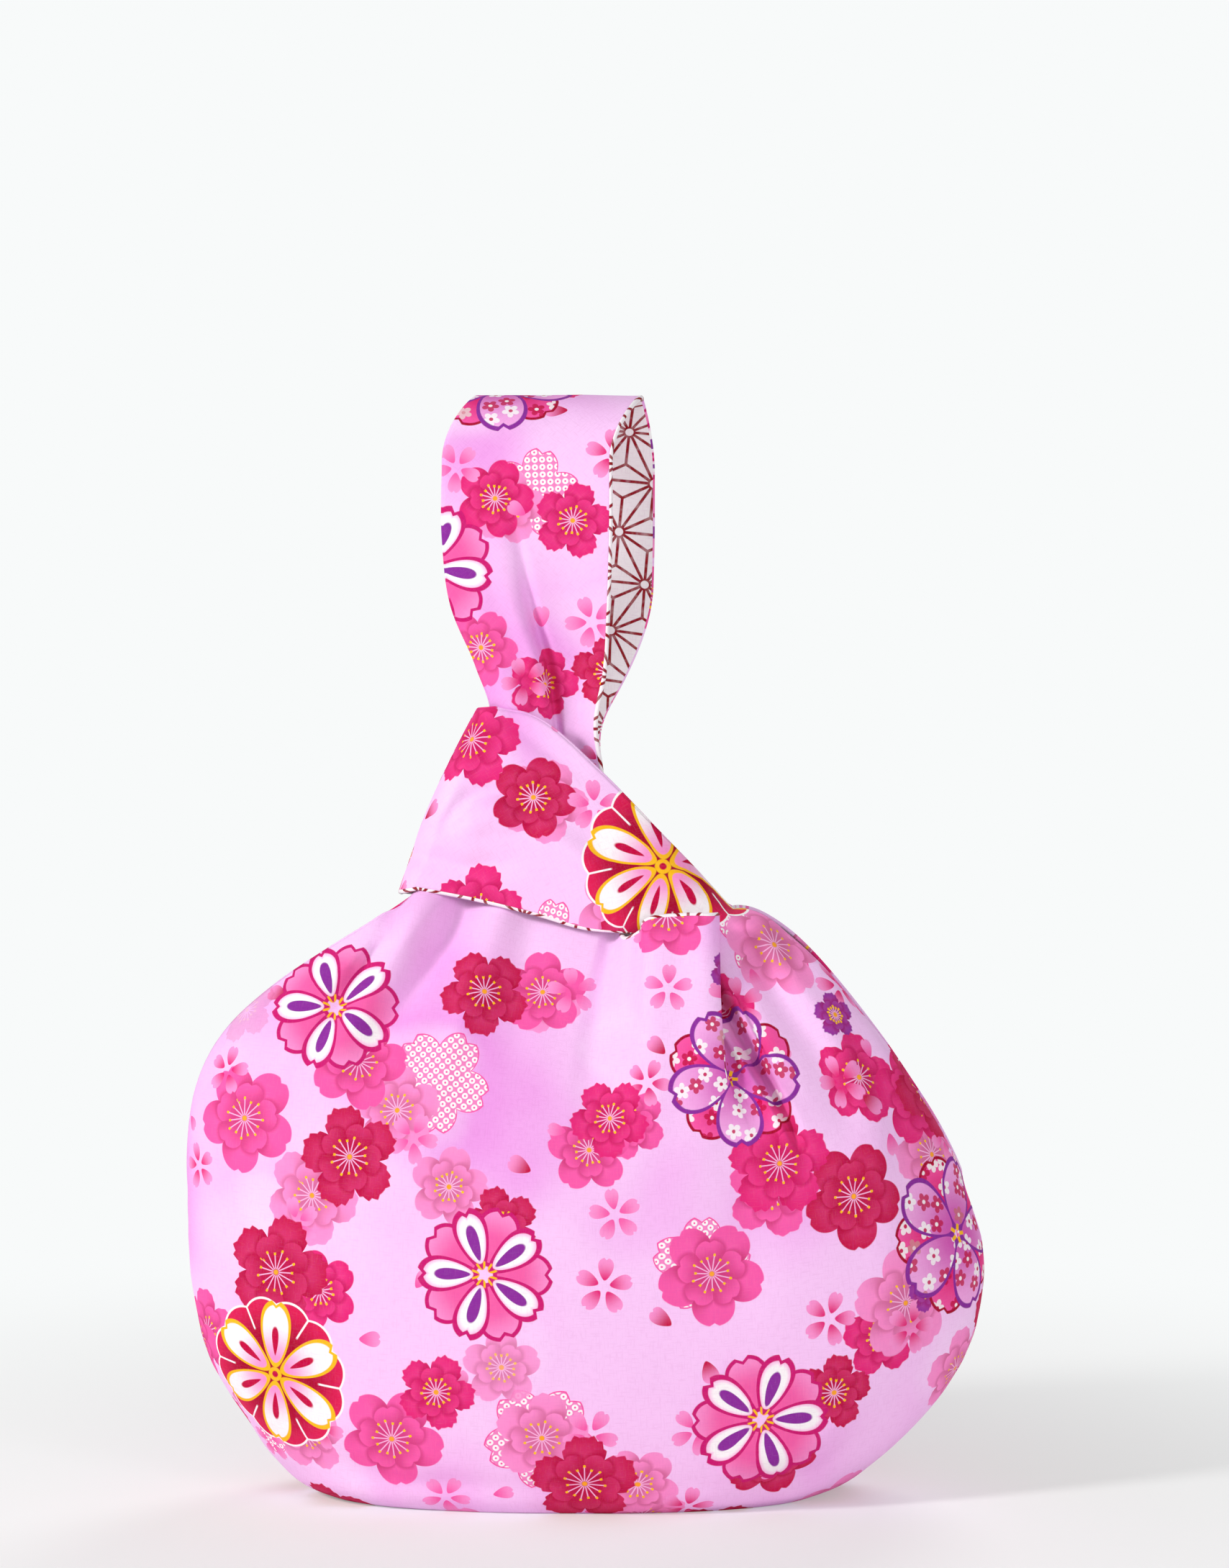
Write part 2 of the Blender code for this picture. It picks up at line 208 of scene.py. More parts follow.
# Creases of the front as the photograph shows them: depth in mm (below 0 for a valley), half width
# in mm, then places across and up in mm. Each fades out towards its last point and is a little
# weaker at its first.
FRONT_CREASES = (
    (-3.6, 2.2, ((19.5, 250), (19.6, 228), (19.0, 208), (17.5, 180))),
    (1.8, 6.0, ((27.0, 246), (28.0, 215), (26.0, 180))),
    (-4.6, 3.0, ((-74, 252), (-81, 233), (-94, 213), (-109, 188), (-123, 166))),
    (4.0, 6.5, ((-64, 252), (-78, 222), (-95, 196), (-110, 172))),
    (-5.4, 6.0, ((-48, 250), (-56, 231), (-66, 215), (-80, 195), (-94, 172))),
    (3.0, 7.0, ((-34, 246), (-41, 220), (-52, 192), (-68, 158))),
    (-1.9, 7.0, ((-22, 242), (-25, 214), (-32, 176))),
    (-2.4, 3.0, ((64, 208), (70, 192), (78, 176), (87, 164))),
    (2.0, 7.0, ((72, 232), (84, 206), (93, 182), (102, 152))),
    (-1.8, 7.0, ((82, 230), (101, 202), (117, 172), (126, 140))),
    (-0.9, 9.0, ((40, 176), (34, 150), (20, 120))),
    (-2.0, 6.0, ((-110, 22), (-70, 12), (-20, 9), (30, 11))),
    (1.9, 7.0, ((60, 22), (90, 26), (118, 46))),
    (-1.9, 5.0, ((70, 9), (96, 18), (122, 40))),
    (-1.6, 11.0, ((-152, 134), (-128, 112), (-96, 100))),
    (2.2, 11.0, ((94, 206), (110, 165), (121, 115), (122, 70))),
    (-2.0, 9.0, ((112, 196), (130, 156), (140, 105))),
    (-1.8, 12.0, ((58, 168), (66, 120), (62, 70))),
    (-1.7, 13.0, ((-146, 88), (-122, 56), (-96, 36))),
    (1.4, 12.0, ((-60, 160), (-84, 120), (-92, 80))),
)
# The same for the short handle, where it crosses the front.
RING_CREASES = (
    (-3.6, 3.6, ((-58, 277), (-48, 288), (-38, 291), (-29, 288), (-21, 280))),
    (3.0, 6.0, ((-48, 277), (-38, 281), (-28, 276))),
    (-2.0, 3.5, ((-30, 318), (-14, 306), (2, 296))),
    (-3.2, 4.5, ((-72, 264), (-50, 258), (-24, 262))),
    (3.2, 6.0, ((-14, 272), (8, 256), (24, 246))),
)
BACK_CREASES = (
    (-1.3, 3.0, ((22, 238), (22, 214), (19, 186))),
    (1.8, 9.0, ((-70, 244), (-88, 222), (-110, 196), (-128, 170))),
    (-1.7, 9.0, ((-50, 242), (-60, 222), (-72, 196), (-80, 168))),
    (-1.2, 8.0, ((-20, 236), (-24, 206), (-36, 172))),
    (-1.4, 5.0, ((70, 232), (84, 206), (96, 176))),
    (1.3, 8.0, ((84, 226), (104, 196), (120, 160))),
    (-1.2, 8.0, ((-100, 18), (-50, 10), (0, 8), (50, 10))),
    (-1.0, 9.0, ((110, 120), (90, 96), (60, 84))),
)


def held(t):
    return np.clip(t, 0.0, 1.0)


def unit(vectors):
    return vectors / np.linalg.norm(vectors, axis=-1, keepdims=True)


def hermite(t, start, end, leave, arrive):
    """A smooth curve from start to end by its directions at both."""
    one = (2 * t**3 - 3 * t**2 + 1) * start + (t**3 - 2 * t**2 + t) * leave
    two = (3 * t**2 - 2 * t**3) * end + (t**3 - t**2) * arrive
    return one + two


def smooth(rows, at):
    """Values at the given places on a smooth curve through rows of place, value, value."""
    rows = np.array(rows, float)
    at = np.asarray(at, float)
    key, value = rows[:, 0], rows[:, 1:]
    slope = np.gradient(value, key, axis=0)
    i = np.clip(np.searchsorted(key, at, side="right") - 1, 0, len(key) - 2)
    span = (key[i + 1] - key[i])[..., None]
    t = held((at - key[i])[..., None] / span)
    return hermite(t, value[i], value[i + 1], span * slope[i], span * slope[i + 1])


def swell(off, wide):
    """1 where off is 0, falling away on both sides over the given width."""
    return np.exp(-((off / wide) ** 2))


def even(count):
    """The ends of a number of equal parts of the way from 0 to 1."""
    return np.linspace(0.0, 1.0, count + 1)


def step(t):
    """0 below 0, 1 above 1, and soft between them."""
    t = held(t)
    return t * t * (3 - 2 * t)


def points(x, y, z):
    return np.stack(np.broadcast_arrays(x, y, z), axis=-1)


def section(height, share):
    """Points round the front half of the body at a height up to the anchor, by share of the arc."""
    left, right, deep = np.moveaxis(smooth(OUTLINE, height / ANCHOR_HEIGHT), -1, 0)
    turn = np.linspace(0.0, np.pi, 721)
    across, out = np.cos(turn), np.abs(np.sin(turn)) ** ROUNDNESS
    x = np.abs(across) ** ROUNDNESS * np.where(across > 0, -left, right) * HALF_WIDTH
    y = -out * deep * HALF_DEPTH
    run = np.concatenate([[0.0], np.cumsum(np.hypot(np.diff(x), np.diff(y)))])
    x, y = (np.interp(share * run[-1], run, line) for line in (x, y))
    return points(x, y, height)


def base(out, share):
    rim = section(0.0, share)
    rim[..., 0] *= 0.90 + 0.10 * out
    rim[..., 1] *= out
    return rim


def long_strip(share, along, rear):
    straight = np.minimum(along, 1.0)
    x, z, tilt, wide, deep = np.moveaxis(smooth(LONG_STRIP, straight), -1, 0)
    half = wide * STRAP_WIDTH / 2
    across = 2 * share - 1
    x = x * HALF_WIDTH + across * half
    turn = held(along - 1.0)
    angle = turn * np.pi / 2
    z = z + (1.0 - LONG_STRIP[-1][2]) * np.sin(angle)
    z = MOUTH_HEIGHT + z * (LOOP_TOP - MOUTH_HEIGHT) - across * half * tilt
    fold = swell(straight - 0.42, 0.28)
    crest = np.cos(FULL * (share - 0.22)) * (1 - 0.35 * share)
    y = deep * LOOP_DEPTH / 2 + STRIP_FOLD * fold * crest
    lean = LOOP_SHIFT * step((straight - 0.32) / 0.42)
    meet = LOOP_SHIFT * 0.72 * step(turn)
    x = x + (lean + meet - LOOP_SHIFT * step(turn) if rear else meet)
    return points(x, -y * np.cos(angle), z)


def short_strip(share, along, rear):
    flat = np.minimum(along, 1.0)
    row = np.moveaxis(smooth(SHORT_STRIP, flat), -1, 0)
    low_x, low_z, up_x, up_z, low_out, up_out, bulge = row
    curl = held(1 - flat / 0.6)
    rise = share * (1 - curl) + curl * (0.5 - 0.5 * np.cos(np.pi * share**0.8))
    x = (low_x + (up_x - low_x) * rise) * HALF_WIDTH
    z = (low_z + (up_z - low_z) * rise) * MOUTH_HEIGHT
    out = low_out + (up_out - low_out) * share + bulge * np.sin(np.pi * share)
    angle = held(along - 1.0) * np.pi / 2
    x = x - (TURN_REACH + TURN_SWELL * np.sin(np.pi * share)) * np.sin(angle)
    sag = RING_SAG * (1 - share) ** 2 * step((flat - 0.5) / 0.5)
    z = z - sag * (1 - 0.5 * np.sin(angle) if rear else 0.5 * np.sin(angle))
    return points(x, -out * RING_OUT * np.cos(angle), z)


def top_row(share):
    """Points of the row where the body becomes the strips and the mouth's free edge."""
    share = np.asarray(share, float)
    long_part = long_strip(held(share / LONG_SHARE), 0.0, False)
    short_share = held((share - SHORT_SHARE) / (1 - SHORT_SHARE))
    short_part = short_strip(short_share, 0.0, False)
    start = long_strip(1.0, 0.0, False)
    end = short_strip(0.0, 0.0, False)
    rows = [(0.0, *start)]
    for at, x, z, deep in MOUTH_EDGE:
        first = start[1] + (-FLAP_OUT - start[1]) * min(deep, 1.0)
        out = first + (FLAP_OUT - PLEAT_UNDER) * max(deep - 1.0, 0.0)
        rows.append((at, x * HALF_WIDTH, out, z * MOUTH_HEIGHT))
    rows.append((1.0, *end))
    middle = smooth(rows, held((share - LONG_SHARE) / (SHORT_SHARE - LONG_SHARE)))
    row = np.where((share < LONG_SHARE)[..., None], long_part, middle)
    return np.where((share > SHORT_SHARE)[..., None], short_part, row)


def shoulder(share, rise):
    """Points between the anchor height (rise = 0) and the top row (rise = 1)."""
    arc = smooth(SPREAD, share)[..., 0]
    low = section(ANCHOR_HEIGHT, arc)
    below = section(ANCHOR_HEIGHT * 0.93, arc)
    part = EDGE_PARTING * np.sin(np.pi * rise) * (np.abs(2 * arc - 1)) ** 4
    high = top_row(share)
    row = smooth(ARRIVAL, share)
    start, end = unit(low - below), unit(row[..., :3])
    reach = np.linalg.norm(high - low, axis=-1, keepdims=True)
    t = np.full(share.shape + (1,), rise)
    made = hermite(t, low, high, reach * row[..., 3:4] * start, reach * row[..., 4:5] * end)
    for place, wide, tall, begins in FOLDS:
        fade = np.sin(np.pi * held((rise - begins) / (1 - begins)) ** 1.2)
        part = part + tall * FOLD_DEPTH * swell(share - place, wide) * fade
    made[..., 1] -= part
    return made


def squares(index):
    """The faces of a grid of numbered points."""
    low, high = index[:-1], index[1:]
    cells = np.stack([low[:, :-1], low[:, 1:], high[:, 1:], high[:, :-1]], axis=-1)
    return cells.reshape(-1, 4).tolist()


class Panel:
    """One cut panel as three joined grids: the body, the long strip and the short strip."""

    def __init__(self, rear):
        self.rear = rear
        left = np.linspace(0.0, LONG_SHARE, CELLS_LONG + 1)
        # The middle's columns lie closer together in the pleat's turns.
        key = [0.0, *(row[0] for row in MOUTH_EDGE), 1.0]
        at = np.linspace(0, len(key) - 1, CELLS_MIDDLE + 1)
        middle = np.interp(at, range(len(key)), key)
        right = np.linspace(SHORT_SHARE, 1.0, CELLS_SHORT + 1)
        middle = LONG_SHARE + middle * (SHORT_SHARE - LONG_SHARE)
        self.share = share = np.concatenate([left, middle[1:], right[1:]])
        arc = smooth(SPREAD, share)[..., 0]
        rows = [base(out, arc) for out in even(ROWS_BASE)[:-1] ** 0.8]
        rows += [section(height, arc) for height in even(ROWS_WALL)[:-1] ** 1.35 * ANCHOR_HEIGHT]
        rows += [shoulder(share, rise) for rise in even(ROWS_SHOULDER)]
        parts = [np.array(rows)]
        for strip, across, count, turn_count in (
            (long_strip, left / LONG_SHARE, ROWS_LONG, ROWS_LONG_TURN),
            (short_strip, (right - SHORT_SHARE) / (1 - SHORT_SHARE), ROWS_SHORT, ROWS_SHORT_TURN),
        ):
            along = np.concatenate([even(count)[1:], 1 + even(turn_count)[1:]])
            parts.append(strip(across, along[:, None], rear))
        shapes = [part.shape[:2] for part in parts]
        starts = np.cumsum([0] + [m * n for m, n in shapes])
        index = [start + np.arange(m * n).reshape(m, n) for start, (m, n) in zip(starts, shapes)]
        self.body = index[0]
        self.long = np.vstack([self.body[-1, : len(left)], index[1]])
        self.short = np.vstack([self.body[-1, -len(right) :], index[2]])
        self.place = np.concatenate([part.reshape(-1, 3) for part in parts])
        self.first = ROWS_BASE + ROWS_WALL
        self.grids = (self.body, self.long, self.short)
        self.faces = [face for index in self.grids for face in squares(index)]

    def normals(self, place):
        mesh = bpy.data.meshes.new("measure")
        mesh.from_pydata(place.tolist(), [], self.faces)
        mesh.update()
        out = np.empty(len(place) * 3)
        mesh.vertices.foreach_get("normal", out)
        bpy.data.meshes.remove(mesh)
        return out.reshape(-1, 3)

    def blend(self, field):
        """The field evened out a little over each of the three grids."""
        for index in self.grids:
            part = field[index]
            part[1:-1] = (part[:-2] + 2 * part[1:-1] + part[2:]) / 4
            part[:, 1:-1] = (part[:, :-2] + 2 * part[:, 1:-1] + part[:, 2:]) / 4
            field[index] = part
        return field


def crease(x, z, creases):
    """The height of the listed creases at places across and up, all in mm."""
    total = np.zeros(len(x))
    for depth, wide, line in creases:
        line = np.array(line, float)
        runs = np.hypot(*np.diff(line, axis=0).T)
        whole = runs.sum()
        best = np.full(len(x), 1e9)
        at = np.zeros(len(x))
        before = 0.0
        for a, b, run in zip(line[:-1], line[1:], runs):
            wx, wz = b - a
            t = held(((x - a[0]) * wx + (z - a[1]) * wz) / run**2)
            d = np.hypot(x - a[0] - t * wx, z - a[1] - t * wz)
            near = d < best
            best = np.where(near, d, best)
            at = np.where(near, (before + t * run) / whole, at)
            before += run
        fade = np.sin(np.pi * held(0.30 + 0.70 * at)) ** 0.8
        total += depth * swell(best, wide) * fade
    return total


def ripple(place, size, seed):
    """Gentle uneven swelling with the given length of wave in metres, from -1 to 1."""
    shift = seed * 7.31
    x, y, z = (place / size).T
    return np.array([noise.noise(spot) for spot in zip(x + shift, y * 0.6, z - shift)])


def worked(panel):
    """The panel's places with its creases, puckers and unevenness, in the front's frame."""
    place = panel.place.copy()
    normal = panel.normals(place)
    x, z = place[:, 0] * 1000, place[:, 2] * 1000

    def onto(index, values):
        """The values at one grid's points, and 0 at all others."""
        out = np.zeros(len(place))
        out[index.ravel()] = np.broadcast_to(values, index.shape).ravel()
        return out

    def ways(index):
        """The way across and the way along one grid, from 0 to 1."""
        return even(index.shape[1] - 1), even(index.shape[0] - 1)[:, None]

    body = onto(panel.body, 1.0)
    row = onto(panel.body, np.arange(panel.body.shape[0])[:, None])
    column = onto(panel.body, np.arange(panel.body.shape[1]))
    facing = held(-normal[:, 1] * 1.6)
    wall = body * held((row - ROWS_BASE + 2) / 6)
    lift = crease(x, z, BACK_CREASES if panel.rear else FRONT_CREASES) * wall * facing
    seed = 3 if panel.rear else 1
    for height, wave, start in BODY_RIPPLES:
        lift += height * ripple(place, wave, seed + start) * wall
    height, wave, start = STRIP_RIPPLE
    lift += height * ripple(place, wave, seed + start) * (1 - body)
    # The layers of the pleat stay apart.
    pleat = np.abs(column - (CELLS_LONG + 0.78 * CELLS_MIDDLE)) / (0.30 * CELLS_MIDDLE)
    high = held((row - panel.first) / ROWS_SHOULDER)
    lift *= 1 - np.exp(-(pleat**4)) * step(high * 1.6) * body
    # The hollow beside the pleat has a steep wall on its left and a slope on its right.
    off = onto(panel.body, panel.share) - HOLLOW_PLACE - HOLLOW_LEAN * (1.0 - high)
    open_up = step((high - 0.10) / 0.28) * (1.0 - 0.45 * step((high - 0.90) / 0.10)) * body
    lift -= HOLLOW_DEPTH * swell(off, np.where(off < 0, HOLLOW_LEFT, HOLLOW_RIGHT)) * open_up
    lift += HOLLOW_LIP * swell(off + 0.020, 0.011) * open_up
    # Small puckers next to the side seams, and the seams' own grooves.
    edge = np.minimum(place[:, 1] * -1000, 40.0)
    below = body * (row < panel.first) * wall
    lift += below * np.exp(-edge / 7) * 0.38 * np.sin(z / 2.7 + 1.7 * np.sin(z / 9.0) + seed)
    lift -= below * 0.75 * swell(edge, 1.5)
    for index, turn_rows in ((panel.long, ROWS_LONG_TURN), (panel.short, ROWS_SHORT_TURN)):
        lift -= onto(index[-turn_rows:], 1.0) * 0.55 * swell(edge, 1.4)
    # The ring is drawn in softly next to the body, and creased where it crosses the front.
    across, along = ways(panel.short)
    drawn = swell(across - 0.30 - 0.5 * along, 0.09) * swell(along - 0.25, 0.16)
    drawn = drawn + 0.7 * swell(across - 0.55 - 0.3 * along, 0.08) * swell(along - 0.18, 0.13)
    lift -= 1.2 * onto(panel.short, drawn)
    if not panel.rear:
        ends = held(along * 8 - 1) * held((1 - along) * 12)
        lift += crease(x, z, RING_CREASES) * onto(panel.short, ends)
    # The long strip's left part curls over its right part.
    across, along = ways(panel.long)
    line = 0.60 - 0.20 * (along - 0.35) / 0.35
    curl = swell(across - line + 0.09, 0.070) * CURL_RISE
    curl = curl - swell(across - line - 0.024, 0.032) * CURL_SINK
    curl = curl * swell(along - 0.41, 0.20) * (0.8 if panel.rear else 1.0)
    dent = 0.8 * swell(across - 0.82, 0.06) * swell(along - 0.34, 0.10)
    lift = panel.blend(lift + onto(panel.long, curl - dent)) / 1000
    return place + normal * lift[:, None]


def linked(name, data):
    """A new object in the scene."""
    thing = bpy.data.objects.new(name, data)
    bpy.context.scene.collection.objects.link(thing)
    return thing


def laid_flat(panel, place):
    """The places of the panel's points on the cut cloth, in metres, with its foot at v = 0."""
    grids, used, faces = [], {}, []
    for index in panel.grids:
        rows, cols = ({*range(0, count, COARSE), count - 1} for count in index.shape)
        if index is panel.body:
            cols |= {CELLS_LONG, CELLS_LONG + CELLS_MIDDLE}
        rows, cols = sorted(rows), sorted(cols)
        small = index[np.ix_(rows, cols)]
        for vertex in small.ravel().tolist():
            used.setdefault(vertex, len(used))
        small = np.vectorize(used.get)(small)
        grids.append((index, rows, cols, small))
        faces += squares(small)
    coarse = list(used)
    mesh = bpy.data.meshes.new("flat_measure")
    mesh.from_pydata(place[coarse].tolist(), [], faces)
    mesh.uv_layers.new(name="flat")
    thing = linked("flat_measure", mesh)
    bpy.context.view_layer.objects.active = thing
    for other in bpy.context.selected_objects:
        other.select_set(False)
    thing.select_set(True)
    bpy.ops.object.mode_set(mode="EDIT")
    bpy.ops.mesh.select_all(action="SELECT")
    bpy.ops.uv.unwrap(method="MINIMUM_STRETCH", iterations=40, margin=0.0)
    bpy.ops.object.mode_set(mode="OBJECT")
    loops = np.empty(len(mesh.loops), int)
    mesh.loops.foreach_get("vertex_index", loops)
    raw = np.empty(len(mesh.loops) * 2)
    mesh.uv_layers["flat"].data.foreach_get("uv", raw)
    flat = np.empty((len(coarse), 2))
    flat[loops] = raw.reshape(-1, 2)
    bpy.data.objects.remove(thing)
    bpy.data.meshes.remove(mesh)
    # Back to metres, upright, and the right way round.
    ends = np.array([(f[0], f[1]) for f in faces] + [(f[1], f[2]) for f in faces])
    solid = place[coarse]
    true = np.linalg.norm(solid[ends[:, 0]] - solid[ends[:, 1]], axis=1).sum()
    flat *= true / np.linalg.norm(flat[ends[:, 0]] - flat[ends[:, 1]], axis=1).sum()

    def at(row, column):
        return flat[used[int(panel.body[row, column])]]

    middle = (CELLS_LONG // COARSE) * COARSE
    foot = at(0, middle)
    top = at((panel.first // COARSE) * COARSE, middle)
    up = unit(top - foot)
    side = np.array([up[1], -up[0]])
    flat = np.stack([(flat - foot) @ side, (flat - foot) @ up], axis=1)
    if at(0, -1)[0] < at(0, 0)[0]:
        flat[:, 0] *= -1
    out = np.empty((len(place), 2))
    for index, rows, cols, small in grids:
        down, across = (np.arange(count) for count in index.shape)
        for c in range(2):
            wide = np.array([np.interp(across, cols, line) for line in flat[small, c]])
            out[index, c] = np.array([np.interp(down, rows, line) for line in wide.T]).T
    return out


def cut_area(panel, flat):
    """The area of the cut cloth in square metres, and its width and length."""
    f = np.array(panel.faces)
    a, b, c, d = (flat[f[:, k]] for k in range(4))
    p, q = c - a, d - b
    area = 0.5 * np.abs(p[:, 0] * q[:, 1] - p[:, 1] * q[:, 0]).sum()
    size = flat.max(axis=0) - flat.min(axis=0)
    return float(area), float(size[0]), float(size[1])


class Signal:
    """A value in a material, which takes plain arithmetic and becomes nodes."""

    def __init__(self, board, socket):
        self.board = board
        self.socket = socket

    def __add__(self, other):
        return self.board.op("ADD", self, other)

    def __sub__(self, other):
        return self.board.op("SUBTRACT", self, other)

    def __rsub__(self, other):
        return self.board.op("SUBTRACT", other, self)

    def __mul__(self, other):
        return self.board.op("MULTIPLY", self, other)

    def __truediv__(self, other):
        return self.board.op("DIVIDE", self, other)

    __radd__ = __add__
    __rmul__ = __mul__


class Board:
    """The node tree of one material, with the few kinds of node that the patterns need."""

    def __init__(self, tree):
        self.tree = tree

    def put(self, socket, value):
        if isinstance(value, Signal):
            value = value.socket
        if isinstance(value, bpy.types.NodeSocket):
            self.tree.links.new(value, socket)
        else:
            socket.default_value = value

    def feed(self, node, values):
        """Gives a node's inputs their values or signals."""
        for key, value in values.items():
            self.put(node.inputs[key], value)
        return node

    def node(self, kind, values=None, **settings):
        node = self.tree.nodes.new("ShaderNode" + kind)
        for name, value in settings.items():
            setattr(node, name, value)
        return self.feed(node, values or {})

    def surface(self, values):
        return self.feed(self.tree.nodes["Principled BSDF"], values)

    def op(self, kind, *values):
        node = self.node("Math", dict(enumerate(values)), operation=kind)
        return Signal(self, node.outputs[0])

    def low(self, a, b):
        return self.op("MINIMUM", a, b)

    def high(self, a, b):
        return self.op("MAXIMUM", a, b)

    def size(self, a):
        return self.op("ABSOLUTE", a)

    def rise(self, value, start, end):
        """0 below start, 1 above end, and soft between them."""
        values = {"Value": value, "From Min": start, "From Max": end}
        node = self.node("MapRange", values, interpolation_type="SMOOTHSTEP")
        return Signal(self, node.outputs["Result"])

    def fall(self, value, start, end):
        """1 below start, 0 above end, and soft between them."""
        return 1.0 - self.rise(value, start, end)

    def inside(self, value, soft=0.14):
        """1 where a distance in mm is above 0, with a soft edge."""
        return self.rise(value, -soft, soft)

    def mix(self, share, one, two):
        node = self.node("Mix", {0: share, 6: colour(one), 7: colour(two)}, data_type="RGBA")
        return node.outputs[2]

    def rim(self, shade, value, start, end, tone):
        """The shade, with the tone where the value is small."""
        return self.mix(self.fall(value, start, end), shade, tone)

    def pick(self, value, stops):
        """A colour by steps of a value from 0 to 1."""
        node = self.node("ValToRGB", {0: value})
        ramp = node.color_ramp
        ramp.interpolation = "CONSTANT"
        while len(ramp.elements) < len(stops):
            ramp.elements.new(1.0)
        for element, (at, _) in zip(ramp.elements, stops):
            element.position = at
        for element, (_, tone) in zip(ramp.elements, stops):
            element.color = colour(tone)
        return node.outputs[0]

    def parts(self, socket):
        return [Signal(self, out) for out in self.node("SeparateXYZ", {0: socket}).outputs]

    def vector(self, kind, *values):
        return self.node("VectorMath", dict(enumerate(values)), operation=kind)

    def length(self, socket):
        return Signal(self, self.vector("LENGTH", socket).outputs["Value"])

    def noise(self, vector, scale, detail=2.0):
        values = {"Vector": vector, "Scale": scale, "Detail": detail}
        return Signal(self, self.node("TexNoise", values, noise_dimensions="2D").outputs["Fac"])

    def scatter(self, vector, cell, turn, shift, uneven):
        """Polar place in mm round the nearest of many scattered points, and three random values."""
        scale = (1000 / cell, 1000 / cell, 1.0)
        values = {"Location": (*shift, 0.0), "Rotation": (0.0, 0.0, turn), "Scale": scale}
        mapped = self.node("Mapping", {"Vector": vector, **values}).outputs[0]
        values = {"Vector": mapped, "Scale": 1.0, "Randomness": uneven}
        cells = self.node("TexVoronoi", values, voronoi_dimensions="2D", feature="F1")
        off = self.vector("SUBTRACT", mapped, cells.outputs["Position"]).outputs[0]
        x, y, _ = self.parts(off)
        return self.length(off) * cell, self.op("ARCTAN2", y, x), self.parts(cells.outputs["Color"])

    def streaks(self, vector, across, up):
        """Noise stretched along one way of the weave: uneven thread tone, and painted highlight and
        shade.
        """
        return self.noise(self.vector("MULTIPLY", vector, (across, up, 1.0)).outputs[0], 1.0)

    def fold(self, turn, petals):
        """The angle from the nearest petal's middle line."""
        part = self.op("FRACT", turn * (petals / FULL))
        return self.size(part - 0.5) * (FULL / petals)

    def split(self, angle, r):
        """The lengths along and across the line that the angle is measured from."""
        return self.op("COSINE", angle) * r, self.op("SINE", angle) * r

    def seen(self):
        """1 where the camera sees a surface directly, in a reflection or through glass."""
        path = self.node("LightPath").outputs
        either = self.high(Signal(self, path["Is Camera Ray"]), Signal(self, path["Is Glossy Ray"]))
        return self.high(either, Signal(self, path["Is Transmission Ray"]))

    def show(self, share, one, two, output):
        """Mixes the shaders of two nodes into the tree's output."""
        both = self.node("MixShader", {0: share, 1: one.outputs[0], 2: two.outputs[0]})
        self.put(self.tree.nodes[output].inputs["Surface"], both.outputs[0])


def colour(tone):
    """A colour written in 0 to 255 as linear light, or a socket as it is."""
    if not isinstance(tone, tuple):
        return tone
    parts = (c / 255 for c in tone)
    linear = (c / 12.92 if c <= 0.04045 else ((c + 0.055) / 1.055) ** 2.4 for c in parts)
    return (*linear, 1.0)


CRIMSON = (198, 0, 62)
DARK_CRIMSON = (170, 0, 42)
DEEP_ROSE = (172, 0, 58)
ROSE_LIGHT = (255, 108, 184)
HOT_PINK = (230, 28, 114)
PINK = (248, 90, 168)
LIGHT_PINK = (252, 150, 210)
PALE_PINK = (253, 190, 232)
MAGENTA = (206, 24, 112)
PURPLE = (140, 46, 156)
GOLD = (255, 192, 22)
WHITE = (255, 250, 252)
THREAD_SHADE = (196, 96, 176)


def petal(b, along, across, size, egg, notch=None):
    """How far inside a petal a place lies, in mm.

    The egg: its middle, half length and half width as shares of the flower's radius, and how much
    broader its outer end is. The notch in its tip: where, how slanting and how steep.
    """
    middle, reach, wide = (size * share for share in egg[:3])
    u = (along - middle) / reach
    w = across / ((u * egg[3] + 1.0) * wide)
    depth = (1.0 - b.op("SQRT", u * u + w * w)) * wide
    if notch is None:
        return depth
    tip, slant, steep = notch
    return b.low(depth, (size * tip - along + across * slant) * steep)


